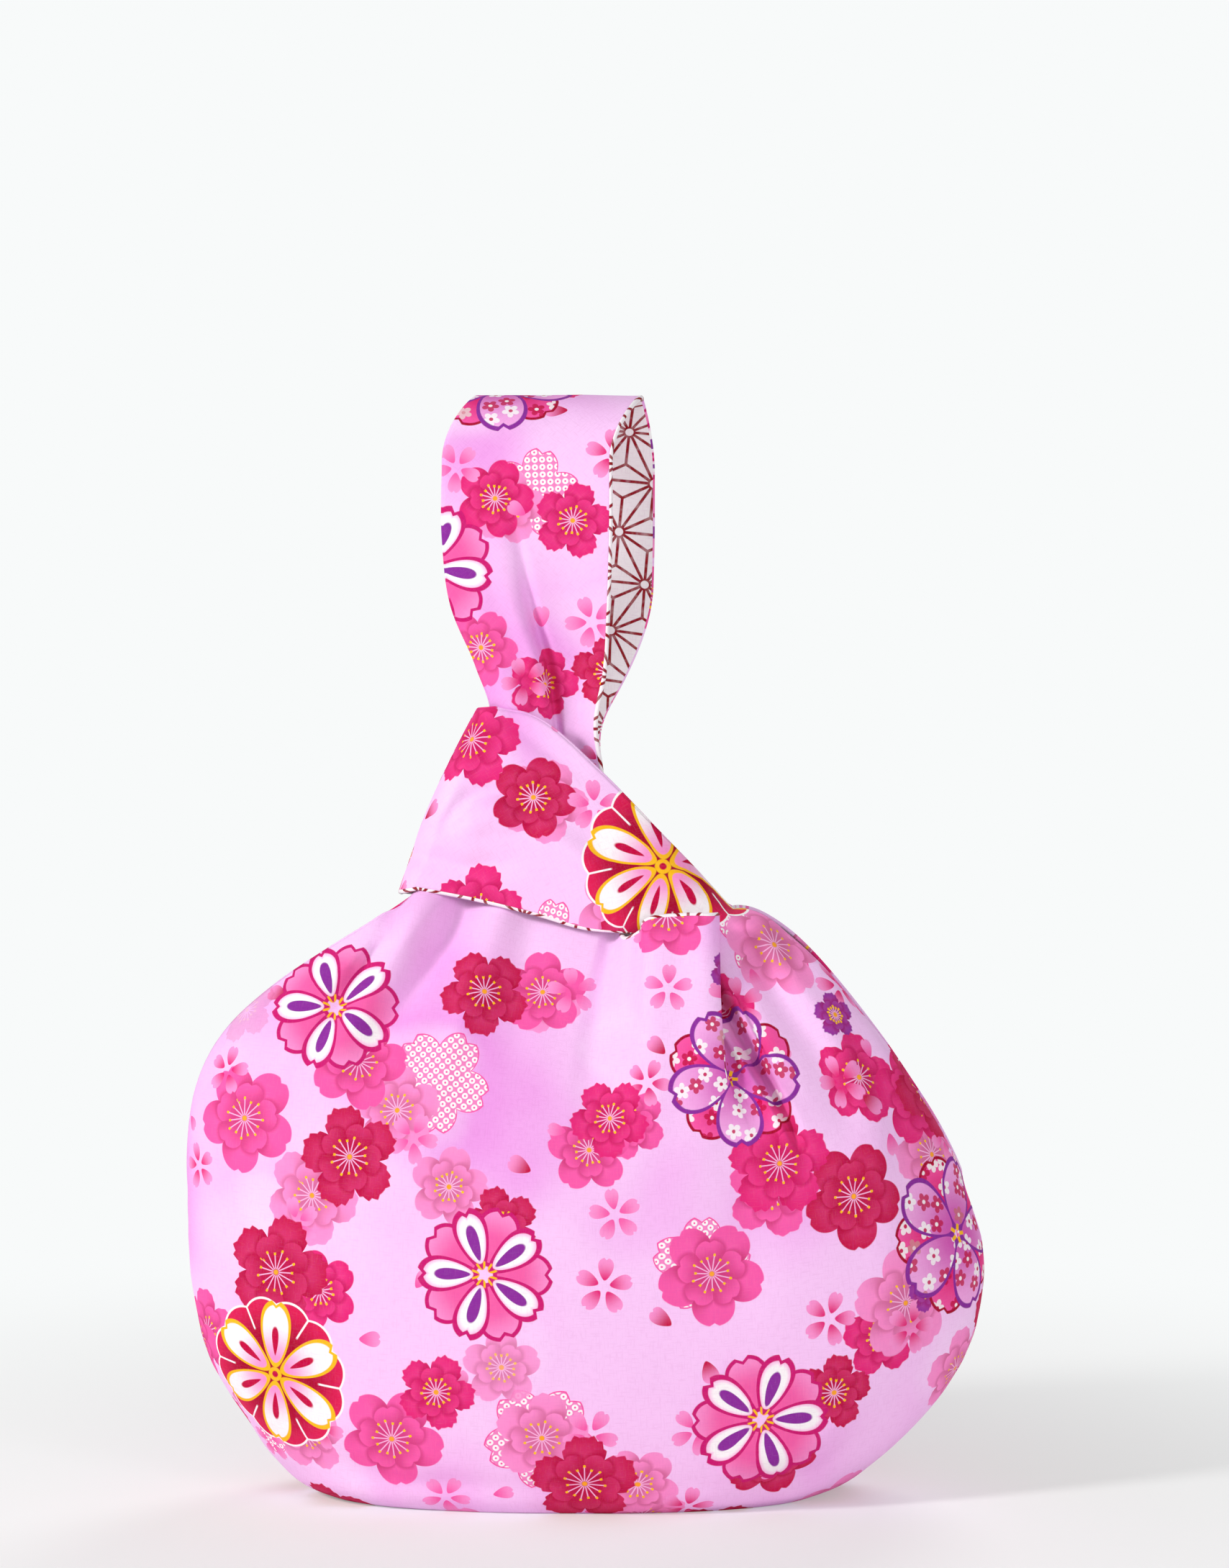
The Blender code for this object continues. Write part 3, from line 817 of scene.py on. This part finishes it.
def blossom(b, r, turn, size, tone, frill):
    """A double blossom with overlapping petals and stamens: its mask and its colour."""
    s = b.fold(turn, 5) * (5 / math.pi)
    sweep = b.op("FRACT", turn * (5 / FULL))
    teeth = b.size(b.op("FRACT", turn * (35 / FULL)) - 0.5) * frill
    notch = b.high(0.0, 1.0 - s * 7.0) * 0.06
    outer = (1.0 - b.op("POWER", s, 2.4) * 0.33 - notch - teeth) * size
    back = 1.0 - s
    notch = b.high(0.0, 1.0 - back * 5.0) * 0.07
    inner = (1.0 - b.op("POWER", back, 2.8) * 0.25 - notch) * size * 0.64
    t = r / size
    deep = b.mix(0.55, tone, DEEP_ROSE)
    light = b.mix(0.20, tone, ROSE_LIGHT)
    # Each petal lies over the next one, whose covered side is darker.
    outside = b.mix(b.rise(sweep, 0.0, 0.45) * 0.85 + 0.15, deep, light)
    outside = b.mix(b.rise(t, 0.62, 1.0) * 0.75, outside, tone)
    sweep = b.op("FRACT", sweep + 0.5)
    inside = b.mix(b.rise(sweep, 0.0, 0.45) * 0.75 + 0.25, deep, light)
    inside = b.mix(b.rise(t, 0.62, 0.20) * 0.85, inside, deep)
    outside = b.mix(b.rise(inner - r, -2.4, 0.0) * 0.7, outside, deep)
    shade = b.mix(b.inside(inner - r, 0.3), outside, inside)
    stamen = b.fold(turn, 15) * r
    far = b.op("PINGPONG", turn * (15 / FULL) + 0.5, 1.0) * 0.07 + 0.30
    fine = b.fall(stamen, 0.12, 0.34) * b.rise(t, 0.04, 0.07) * b.rise(far - t, 0.0, 0.03)
    shade = b.mix(fine * 0.9, shade, PALE_PINK)
    shade = b.rim(shade, b.high(b.size(t - far) * size, stamen * 1.1), 0.38, 0.66, GOLD)
    return b.inside(outer - r, 0.3), b.rim(shade, r, 0.8, 1.2, (255, 170, 40))


def loose_petal(b, r, turn, size, tone):
    """One fallen petal."""
    along, across = b.split(turn, r)
    depth = petal(b, along, across, size, (0.0, 1.0, 0.66, 0.45))
    depth = b.low(depth, (size * 0.82 - along + b.size(across)) * 0.7)
    return b.inside(depth), b.mix(b.rise(along / size, -1.0, 1.0), tone, LIGHT_PINK)


def wheel(b, r, turn, size):
    """A wide six-petalled flower, white with gold edges, on a scalloped crimson disc."""
    fine = b.fold(turn, 12)
    s = fine * (12 / math.pi)
    edge = (1.0 - s * s * 0.075) * size - r
    t = r / size
    disc = b.mix(b.rise(t, 0.45, 0.98), DARK_CRIMSON, (222, 30, 84))
    gap = ((math.pi / 12) - fine) * r
    disc = b.mix(b.fall(gap, 0.25, 0.55) * b.rise(t, 0.60, 0.64), disc, WHITE)
    disc = b.rim(disc, edge, 0.75, 1.05, WHITE)
    along, across = b.split(b.fold(turn, 6), r)
    front = petal(b, along, across, size, (0.53, 0.44, 0.215, 0.34), (0.905, 0.8, 0.78))
    leaf = b.mix(b.rise(t, 0.18, 0.72), LIGHT_PINK, WHITE)
    tear = petal(b, along, across, size, (0.44, 0.19, 0.045, 0.5))
    leaf = b.rim(b.mix(b.inside(tear), leaf, CRIMSON), front, 0.85, 1.15, GOLD)
    shade = b.rim(b.mix(b.inside(front), disc, leaf), t, 0.085, 0.10, GOLD)
    return b.inside(edge), b.rim(shade, t, 0.035, 0.05, CRIMSON)


def lily(b, r, turn, size):
    """A white flower with magenta edges and purple veins over pink petals."""
    angle = b.fold(turn, 5)
    t = r / size
    along, across = b.split(angle, r)
    far, wide = b.split((math.pi / 5) - angle, r)
    back = petal(b, far, wide, size, (0.55, 0.43, 0.30, 0.30), (0.90, 0.7, 0.8))
    shade = b.mix(b.rise(t, 0.5, 1.0), (246, 96, 168), LIGHT_PINK)
    shade = b.rim(shade, back, 1.0, 1.25, MAGENTA)
    front = petal(b, along, across, size, (0.52, 0.45, 0.235, 0.42), (0.89, 0.9, 0.75))
    leaf = b.mix(b.rise(front, 1.0, 2.6), PALE_PINK, WHITE)
    vein = petal(b, along, across, size, (0.46, 0.26, 0.078, 0.35))
    leaf = b.rim(b.mix(b.inside(vein), leaf, PURPLE), front, 1.15, 1.4, MAGENTA)
    shade = b.mix(b.inside(front), shade, leaf)
    star = b.fold(turn, 10) * r
    shade = b.mix(b.fall(star, 0.3, 0.55) * b.fall(t, 0.17, 0.2), shade, GOLD)
    return b.inside(b.high(back, front)), b.rim(shade, t, 0.07, 0.09, (255, 150, 40))


def patterned(b, vector, r, turn, size):
    """A large blossom with purple edges, its petals strewn with small flowers."""
    angle = b.fold(turn, 5)
    t = r / size
    along, across = b.split(angle, r)
    far, wide = b.split((math.pi / 5) - angle, r)
    q, small_turn, (one, two, _) = b.scatter(vector, 9.2, 0.4, (0.3, 0.8), 0.55)
    s = b.fold(small_turn + one * 6.28, 5) * (5 / math.pi)
    dark = b.rise(two, 0.45, 0.5)
    tiny = b.rim(b.mix(dark, WHITE, CRIMSON), q, 0.7, 1.0, b.mix(dark, CRIMSON, WHITE))
    flecks = b.rise((1.0 - s * s * 0.45) * 3.7 - q, -0.1, 0.25) * 0.85
    back = petal(b, far, wide, size, (0.56, 0.42, 0.30, 0.30), (0.93, 0.6, 0.8))
    shade = b.mix(flecks, b.mix(b.rise(t, 0.4, 1.0), HOT_PINK, PINK), tiny)
    shade = b.rim(shade, back, 0.75, 1.05, DARK_CRIMSON)
    front = petal(b, along, across, size, (0.51, 0.47, 0.30, 0.36), (0.915, 0.8, 0.78))
    leaf = b.mix(flecks, b.mix(b.rise(t, 0.1, 0.9), (214, 90, 182), (247, 172, 232)), tiny)
    shade = b.mix(b.inside(front), shade, b.rim(leaf, front, 1.15, 1.5, PURPLE))
    shade = b.mix(b.fall(angle * r, 0.6, 0.95) * b.fall(t, 0.11, 0.13), shade, GOLD)
    return b.inside(b.high(back, front)), shade


def small_flower(b, r, turn, size, tone):
    """Five loose petals, darker towards their feet."""
    along, across = b.split(b.fold(turn, 5), r)
    depth = petal(b, along, across, size, (0.58, 0.38, 0.24, 0.40), (0.88, 1.0, 0.7))
    return b.inside(depth), b.mix(b.rise(r / size, 0.15, 0.9), tone, LIGHT_PINK)


def dotted(b, vector, r, turn, size):
    """A blossom's outline filled with rows of tied-dye rings."""
    s = b.fold(turn, 5) * (5 / math.pi)
    notch = b.high(0.0, 1.0 - s * 4.0) * 0.12
    edge = (1.0 - b.op("POWER", s, 2.2) * 0.34 - notch) * size - r
    x, y, _ = b.parts(vector)
    across = b.op("FRACT", (x + y) * (1000 / 4.3)) - 0.5
    up = b.op("FRACT", (x - y) * (1000 / 4.3)) - 0.5
    d = b.op("SQRT", across * across + up * up) * 3.04
    shade = b.rim((246, 134, 196), d, 1.12, 1.36, WHITE)
    return b.inside(edge), b.rim(b.rim(shade, d, 0.30, 0.52, PINK), edge, 0.5, 0.8, PINK)


def over(b, ground, layer, luck, bare):
    """A layer over the ground, left out where its random number is below a share."""
    mask, shade = layer
    return b.mix(mask * b.rise(luck, bare, bare + 0.01), ground, shade)


def new_material(name):
    material = bpy.data.materials.new(name)
    material.use_nodes = True
    return material, Board(material.node_tree)


def start_cloth(name):
    """A material, its board and the place on the cut cloth in metres."""
    material, b = new_material(name)
    return material, b, b.node("UVMap", uv_map="cut").outputs["UV"]


def end_cloth(b, vector, shade, pitch):
    """Joins a pattern to a matt cotton shader with a plain weave of the given pitch in mm."""
    weft, warp = b.streaks(vector, 220.0, 1700.0), b.streaks(vector, 1700.0, 220.0)
    # Partly uneven thread tone and partly painted highlight: a little whiter where the threads'
    # noise is high.
    shade = b.mix(b.rise(b.high(weft, warp), 0.50, 0.78) * 0.02, shade, WHITE)
    # Partly uneven thread tone and partly painted shade: a little darker where the threads' noise
    # is low, as in the dips of the weave.
    shade = b.mix(b.rise(b.low(weft, warp), 0.50, 0.22) * 0.10, shade, THREAD_SHADE)
    x, y, _ = b.parts(vector)
    k = FULL * 1000 / pitch
    height = b.op("SINE", x * k) * b.op("SINE", y * k) * 0.5 + b.noise(vector, 900.0)
    bump = b.node("Bump", {"Strength": 0.35, "Distance": 0.00025, "Height": height})
    b.surface({
        "Base Color": shade,
        "Roughness": b.rise(b.noise(vector, 420.0, 3.0), 0.0, 1.0) * 0.10 + 0.80,
        "Specular IOR Level": 0.05,
        "Sheen Weight": 0.02,
        "Sheen Roughness": 0.5,
        "Normal": bump.outputs["Normal"],
    })


def printed_cotton():
    """Pale lilac pink cotton strewn with traditional blossoms in many sizes."""
    material, b, vector = start_cloth("printed_cotton_cloth")
    shade = b.mix(b.rise(b.noise(vector, 9.0), 0.46, 0.74), (251, 203, 249), (240, 158, 232))
    haze = b.rise(b.noise(vector, 17.0, 1.0), 0.58, 0.74) * 0.5
    shade = b.mix(haze, shade, (254, 220, 254))
    r, turn, (one, two, three) = b.scatter(vector, 118.0, 0.35, (0.42, 0.15), 0.6)
    flower = dotted(b, vector, r, turn + one * FULL, two * 5 + 18.5)
    shade = over(b, shade, flower, three, 0.10)
    # Cell in mm, how it lies, colours, growth and least radius in mm, frill, share left bare.
    pale = ((0.0, LIGHT_PINK), (0.55, PINK), (0.84, HOT_PINK))
    mixed = ((0.0, LIGHT_PINK), (0.30, PINK), (0.62, HOT_PINK), (0.86, CRIMSON))
    for cell, lie, tones, grow, least, frill, bare in (
        (64.0, (0.75, (0.55, 0.45), 0.36), pale, 7.0, 13.2, 0.06, 0.16),
        (68.0, (1.05, (0.1, 0.7), 0.34), mixed, 7.4, 14.8, 0.0, 0.04),
    ):
        r, turn, (one, two, three) = b.scatter(vector, cell, *lie)
        size = three * grow + least
        flower = blossom(b, r, turn + two * FULL, size, b.pick(one, tones), frill)
        shade = over(b, shade, flower, three, bare)
    r, turn, (one, two, three) = b.scatter(vector, 44.0, 0.2, (0.6, 0.35), 0.5)
    tone = b.pick(two, ((0.0, PINK), (0.55, HOT_PINK)))
    loose = small_flower(b, r, turn + one * FULL, three * 3 + 9.0, tone)
    shade = over(b, shade, loose, three, 0.35)
    r, turn, (one, two, three) = b.scatter(vector, 40.0, 0.8, (0.15, 0.9), 0.7)
    tone = b.pick(two, ((0.0, PINK), (0.6, CRIMSON)))
    shade = over(b, shade, loose_petal(b, r, turn + one * FULL, two * 1.6 + 3.6, tone), three, 0.45)
    r, turn, (one, two, three) = b.scatter(vector, 72.0, 0.55, (0.85, 0.25), 0.34)
    tone = b.pick(one, ((0.0, CRIMSON), (0.50, HOT_PINK), (0.787, PURPLE)))
    size = b.high(9.5, b.fall(one, 0.785, 0.79) * (three * 9.0 + 14.4))
    flower = blossom(b, r, turn + two * FULL, size, tone, 0.13)
    shade = over(b, shade, flower, three, 0.12)
    # The big flowers: a third of each kind.
    r, turn, (one, two, _) = b.scatter(vector, 116.0, 0.80, (0.35, 0.60), 0.42)
    turn = turn + two * FULL
    first, last = b.fall(one, 0.33, 0.335), b.rise(one, 0.66, 0.665)
    mask_a, shade_a = wheel(b, r, turn, 31.5)
    mask_b, shade_b = lily(b, r, turn, 27.5)
    mask_c, shade_c = patterned(b, vector, r, turn, 33.0)
    big = b.mix(last, b.mix(first, shade_b, shade_a), shade_c)
    mask = mask_a * first + mask_c * last + mask_b * (1.0 - first - last)
    end_cloth(b, vector, b.mix(mask, shade, big), 0.42)
    return material


def star_cotton():
    """Off-white cotton with dark red hemp-leaf stars."""
    material, b, vector = start_cloth("lining_cotton_cloth")
    high = STAR_STEP * math.sqrt(3)
    y, x, _ = b.parts(vector)
    x, y = x * 1000.0, y * 1000.0

    def corner(shift):
        dx = (b.op("FRACT", x / high + (0.5 + shift)) - 0.5) * high
        dy = (b.op("FRACT", y / STAR_STEP + (0.5 + shift)) - 0.5) * STAR_STEP
        return dx, dy, b.op("SQRT", dx * dx + dy * dy)

    ax, ay, ar = corner(0.0)
    bx, by, br = corner(0.5)
    nearer = b.op("LESS_THAN", ar, br)
    r = b.low(ar, br)
    dx = ax * nearer + bx * (1.0 - nearer)
    dy = ay * nearer + by * (1.0 - nearer)
    turn = b.op("ARCTAN2", dy, dx)
    part = b.op("FRACT", turn * (12 / FULL) + 0.5) - 0.5
    line = b.op("SINE", b.size(part) * (FULL / 12)) * r
    lines = b.fall(line, 0.46, 0.78) * b.rise(r, 2.1, 2.5)
    ring = b.fall(b.size(r - 2.2), 0.35, 0.6)
    worn = b.rise(b.noise(vector, 260.0), 0.15, 0.6) * 0.25 + 0.75
    shade = b.mix(b.noise(vector, 14.0), (250, 240, 246), (254, 248, 252))
    shade = b.mix(b.high(lines, ring) * worn, shade, (148, 22, 28))
    end_cloth(b, vector, shade, 0.48)
    return material


def thread():
    material, b = new_material("pink_thread")
    twist = b.noise(b.node("TexCoord").outputs["Object"], 2500.0, 1.0)
    shade = b.mix(twist, (236, 150, 196), (252, 206, 234))
    b.surface({"Base Color": shade, "Roughness": 0.6})
    return material


def smooth_mesh(name, places, faces, material):
    mesh = bpy.data.meshes.new(name)
    mesh.from_pydata(places.tolist(), [], faces)
    mesh.update()
    mesh.polygons.foreach_set("use_smooth", [True] * len(faces))
    mesh.materials.append(material)
    return mesh


def make_sheet(name, panel, place, flat, thick, material, shift):
    """One layer of cloth as a closed thin sheet with its place on the cut cloth."""
    faces = panel.faces
    if panel.rear:
        place = place * (1, -1, 1)
        faces = [face[::-1] for face in faces]
        flat = flat * (-1, 1)
    mesh = smooth_mesh(name, place, faces, material)
    loops = np.empty(len(mesh.loops), int)
    mesh.loops.foreach_get("vertex_index", loops)
    uvs = flat[loops] + np.array(shift)
    mesh.uv_layers.new(name="cut").data.foreach_set("uv", uvs.ravel())
    piece = linked(name, mesh)
    solid = piece.modifiers.new("thickness", "SOLIDIFY")
    solid.thickness = thick
    solid.offset = -1.0
    return piece


def round_faces(rings, sides, first=0):
    """The faces of a round bar from ring to ring, and its two ends."""
    faces = []
    for ring in range(rings - 1):
        start = first + ring * sides
        for j in range(sides):
            a, b = start + j, start + (j + 1) % sides
            faces.append((a, b, b + sides, a + sides))
    last = first + (rings - 1) * sides
    return faces + [tuple(range(first, first + sides))[::-1], tuple(range(last, last + sides))]


def lengths(path):
    """The way from the path's start to each of its points."""
    steps = np.linalg.norm(np.diff(path, axis=0), axis=1)
    return np.concatenate([[0.0], np.cumsum(steps)])


def tube(name, path, radius, material, cut=None, sides=8):
    """A thin roll of cloth along a path. Cut is each point's place on the printed cloth."""
    way = unit(np.gradient(path, axis=0))
    # A frame that turns as little as possible along the path.
    ups = np.empty_like(path)
    up = unit(np.cross(way[0], (0.31, 0.77, 0.55)))
    for k in range(len(path)):
        ups[k] = up = unit(up - way[k] * (up @ way[k]))
    others = np.cross(way, ups)
    turn = np.linspace(0, FULL, sides, endpoint=False)[:, None]
    rings = path[:, None] + radius * (np.cos(turn) * ups[:, None] + np.sin(turn) * others[:, None])
    run = lengths(path)
    w = radius * FULL / sides
    uvs = []
    for k in range(len(path) - 1):
        for j in range(sides):
            if cut is None:
                low, high = j * w, (j + 1) * w
                uvs += [(low, run[k]), (high, run[k]), (high, run[k + 1]), (low, run[k + 1])]
            else:
                uvs += [cut[k], cut[k], cut[k + 1], cut[k + 1]]
    uvs += [(0.0, 0.0)] * (2 * sides)
    mesh = smooth_mesh(name, rings.reshape(-1, 3), round_faces(len(path), sides), material)
    mesh.uv_layers.new(name="cut").data.foreach_set("uv", np.array(uvs).ravel())
    return linked(name, mesh)


def edge_path(panel, place, normal, line):
    """The middle of both layers' edges along one free edge, in the bag's frame."""
    deep = (OUTER_CLOTH + LAYER_GAP + LINING_CLOTH) / 2
    path = place[line] - normal[line] * deep
    path[:, 1] = np.minimum(path[:, 1], 0.0)
    if panel.rear:
        path[:, 1] *= -1
    return path


def free_edges(panel):
    """The panel's free edges as rows of points, each from the front's start."""
    body, first = panel.body, panel.first
    middle = body[-1, CELLS_LONG + 1 : CELLS_LONG + CELLS_MIDDLE]
    return {
        "left": np.concatenate([body[first:, 0], panel.long[1:, 0]]),
        "mouth": np.concatenate([panel.long[::-1, -1], middle, panel.short[:, 0]]),
        "right": np.concatenate([body[first:, -1], panel.short[1:, -1]]),
    }


def thinned(path):
    """The numbers of the path's points, without those that lie on top of each other."""
    keep = [0]
    for k in range(1, len(path)):
        if np.linalg.norm(path[k] - path[keep[-1]]) > LEAST_STEP:
            keep.append(k)
    return keep


def stitches(name, middle, along, out, material):
    """Short threads across a seam, one after another."""
    place = []
    faces = []
    turns = [FULL * j / STITCH_SIDES for j in range(STITCH_SIDES)]
    for centre, ahead, away in zip(middle, along, out):
        side = unit(np.cross(ahead, away))
        faces += round_faces(len(STITCH_RINGS), STITCH_SIDES, len(place))
        for across, lift, wide in STITCH_RINGS:
            ring = centre + side * across * STITCH_REACH + away * lift * STITCH_HEIGHT
            for angle in turns:
                around = np.cos(angle) * ahead + np.sin(angle) * away
                place.append(ring + around * STITCH_RADIUS * wide)
    mesh = smooth_mesh(name, np.array(place), faces, material)
    mesh.validate()
    return linked(name, mesh)


def build_bag():
    outer = printed_cotton()
    lining = star_cotton()
    pink = thread()
    edges = {}
    for rear, side in ((False, "front"), (True, "back")):
        panel = Panel(rear)
        place = worked(panel)
        place[:, 1] = np.minimum(place[:, 1], 0.0) - SEAM_GAP / 2
        place[:, 2] = np.maximum(place[:, 2], 0.0)
        flat = laid_flat(panel, panel.place)
        area, width, length = cut_area(panel, flat)
        normal = panel.normals(place)
        inner = place - normal * (OUTER_CLOTH + LAYER_GAP)
        inner[:, 1] = np.minimum(inner[:, 1], -SEAM_GAP / 2)
        mirror = (-1, 1) if rear else (1, 1)
        shift = PRINT_SHIFT[side]
        cover = make_sheet(f"outer_{side}_cloth", panel, place, flat, OUTER_CLOTH, outer, shift)
        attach(cover, "root")
        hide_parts(f"outer_{side}_panel")
        # The lining was cut with its rows of stars across the long handle.
        half_way = panel.long[len(panel.long) // 2]
        across = flat[half_way[-1]] - flat[half_way[0]]
        lean = math.atan2(across[1], across[0])
        cos, sin = math.cos(lean), math.sin(lean)
        star_cut = flat @ np.array([[cos, -sin], [sin, cos]])
        star_shift = STAR_AT_EDGE - star_cut[half_way[-1]] * mirror
        name = f"lining_{side}_cloth"
        inside = make_sheet(name, panel, inner, star_cut, LINING_CLOTH, lining, star_shift)
        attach(inside, "root")
        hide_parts(f"lining_{side}_panel")
        for key, line in free_edges(panel).items():
            path = edge_path(panel, place, normal, line)
            edges[key, side] = np.hstack([path, flat[line] * mirror + np.array(shift)])
        if not rear:
            seam = place[panel.short[-1, 1:-1]]
    left, mouth, right = (
        np.concatenate([edges[key, "front"], edges[key, "back"][::-1]])
        for key in ("left", "mouth", "right")
    )
    # The path round the mouth starts with its part behind the loop, which is rolled in the print.
    behind = (mouth[:, 1] > 0) & (mouth[:, 2] > BACK_ROLL_HEIGHT)
    first = int(np.flatnonzero(behind & ~np.roll(behind, 1))[0])
    mouth = np.roll(mouth, -first, axis=0)
    last = int(behind.sum())
    for name, path, printed in (
        ("left", left, True),
        ("mouth_back", mouth[: last + 1], True),
        ("mouth_front", np.concatenate([mouth[last:], mouth[:1]]), False),
        ("right", right, True),
    ):
        path = path[thinned(path[:, :3])]
        cloth = outer if printed else lining
        radius = EDGE_RADIUS * (PRINT_ROLL if printed else 1.0)
        cut = path[:, 3:] if printed else None
        roll = tube(f"{name}_edge_roll", path[:, :3], radius, cloth, cut)
        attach(roll, "root")
    run = lengths(seam)
    at = np.arange(0.002, run[-1] - 0.001, STITCH_STEP)
    middle = np.stack([np.interp(at, run, line) for line in seam.T], axis=1)
    middle[:, 1] = 0.0
    along = unit(np.gradient(middle, axis=0))
    out = np.cross(along, (0.0, 1.0, 0.0))
    out *= np.sign(-out[:, :1])
    row = stitches("ring_seam_stitches", middle, along, out, pink)
    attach(row, "root")


def build_stage():
    """A pale floor that runs into the pale background, soft lamps, and the camera."""
    turns = np.linspace(0, FULL, 64, endpoint=False)
    ring = [(FLOOR_RADIUS * math.cos(a), FLOOR_RADIUS * math.sin(a), 0.0) for a in turns]
    mesh = bpy.data.meshes.new("floor")
    mesh.from_pydata(ring, [], [tuple(range(len(ring)))])
    floor = linked("floor", mesh)
    material, b = new_material("pale_floor")
    tone = colour((249, 249, 248))
    matt = b.surface({"Base Color": tone, "Roughness": 0.9, "Specular IOR Level": 0.1})
    glow = b.node("Emission", {"Color": colour(BACKDROP)})
    far = b.length(b.node("TexCoord").outputs["Object"])
    b.show((b.rise(far, 0.12, 0.7) * 0.70 + 0.30) * b.seen(), matt, glow, "Material Output")
    mesh.materials.append(material)

    world = bpy.data.worlds.new("studio")
    bpy.context.scene.world = world
    world.use_nodes = True
    w = Board(world.node_tree)
    light = w.feed(w.tree.nodes["Background"], {0: (1.0, 1.0, 1.0, 1.0), 1: 0.30})
    w.show(w.seen(), light, w.node("Background", {0: colour(BACKDROP)}), "World Output")

    for name, place, aim, wide, power in LAMPS:
        data = bpy.data.lights.new(name, "AREA")
        data.shape = "DISK"
        data.size = wide
        data.energy = power
        lamp = linked(name, data)
        lamp.location = place
        lamp.rotation_euler = (Vector(aim) - Vector(place)).to_track_quat("-Z", "Y").to_euler()

    camera = bpy.data.cameras.new("camera")
    camera.sensor_fit = "VERTICAL"
    camera.sensor_height = 36.0
    camera.lens = camera.sensor_height * (FRONT_Y - CAMERA[1]) / PICTURE_HEIGHT
    view = linked("camera", camera)
    view.location = CAMERA
    view.rotation_euler = (math.pi / 2, 0.0, 0.0)
    bpy.context.scene.camera = view
    bpy.context.scene.view_settings.view_transform = "Standard"


build_bag()
build_stage()
